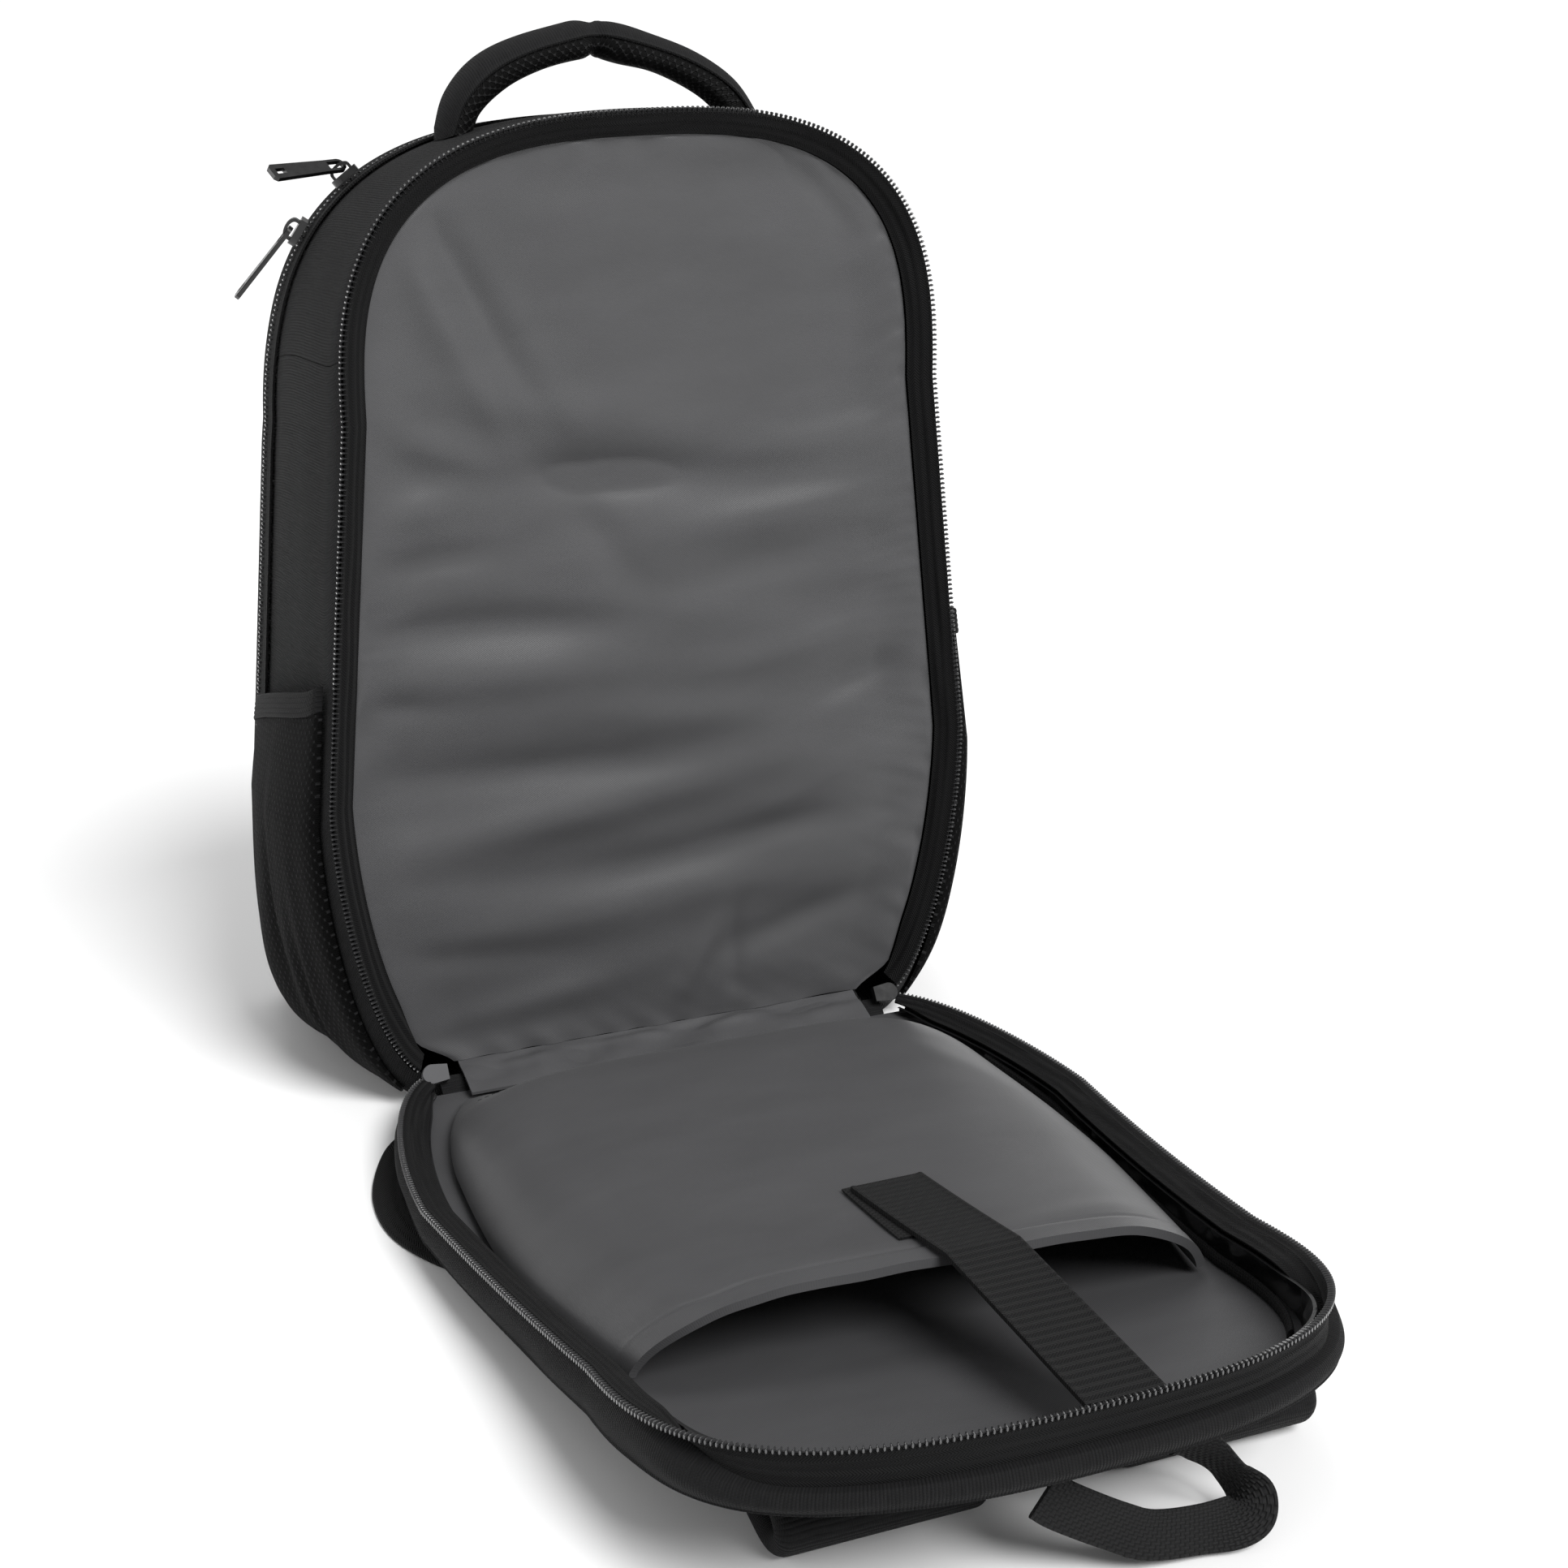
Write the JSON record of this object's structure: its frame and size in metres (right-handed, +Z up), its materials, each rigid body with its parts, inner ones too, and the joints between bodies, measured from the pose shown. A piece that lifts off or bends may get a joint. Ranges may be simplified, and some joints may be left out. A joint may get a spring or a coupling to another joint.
{
  "type": "travel backpack",
  "caption": "Travel backpack standing on its base with its back panel unzipped and laid open in front, showing the laptop sleeve, hook strap, divider, mesh side pockets and top handle.",
  "frame": {"origin": "centre of the underside of the base panel, on the surface that the backpack stands on", "axes": "+Z up, +Y from the opened back zip towards the body's front face, the opened panel lies towards -Y, +X to the viewer's right when looking into the opened bag"},
  "size_m": [0.342, 0.5902, 0.4722],
  "materials": {
    "outer_fabric": "heathered ribbed polyester, matt",
    "mesh": "black knitted air mesh",
    "zip_tape": "black herringbone tape",
    "zip_teeth": "black coil teeth, glossy",
    "lining": "grey satin twill",
    "dark_lining": "dark grey satin twill, crumpled",
    "webbing": "black woven webbing",
    "slider": "black lacquered",
    "gunmetal": "dark metal, satin"
  },
  "bodies": {
    "root": {"side_panel_right": "outer_fabric", "side_panel_left": "outer_fabric", "top_gusset": "outer_fabric", "base_panel": "outer_fabric", "hinge_fold": "outer_fabric", "front_panel": "outer_fabric", "front_zip_tape": "zip_tape", "front_zip_coil": "zip_teeth", "body_zip_tape": "zip_tape", "body_zip_coil": "zip_teeth", "divider_panel": "lining", "mesh_pocket_right": "mesh", "pocket_hem_right": "webbing", "mesh_pocket_left": "mesh", "pocket_hem_left": "webbing", "top_handle": "outer_fabric", "panel_wall_right": "outer_fabric", "panel_wall_front": "outer_fabric", "panel_wall_left": "outer_fabric", "panel_zip_tape": "zip_tape", "panel_zip_coil": "zip_teeth", "back_pad": "mesh", "panel_lining": "lining", "hinge_strip": "lining", "wall_lining": "dark_lining", "binding_right": "zip_tape", "binding_left": "zip_tape", "laptop_sleeve": "lining", "loop_patch": "webbing", "hook_strap": "webbing", "strap_pad_right": "outer_fabric", "strap_webbing_right": "webbing", "strap_pad_left": "outer_fabric", "strap_webbing_left": "webbing", "hang_loop": "webbing", "slider_lower": "slider", "slider_upper": "slider", "corner_slider_left": "gunmetal", "corner_slider_right": "slider"},
    "pull_lower": {"pull_lower": "slider"},
    "pull_upper": {"pull_upper": "slider"}
  },
  "joints": [
    {"name": "pull_lower_swing", "type": "hinge", "parent": "root", "child": "pull_lower", "pos_m": [-0.12974, 0.03199, 0.38707], "axis": [0.2731, 0.9568, 0.0999], "range_deg": [0, 120]},
    {"name": "pull_upper_swing", "type": "hinge", "parent": "root", "child": "pull_upper", "pos_m": [-0.10851, 0.0285, 0.41289], "axis": [-0.7825, 0.13, -0.609], "range_deg": [0, 120]}
  ]
}
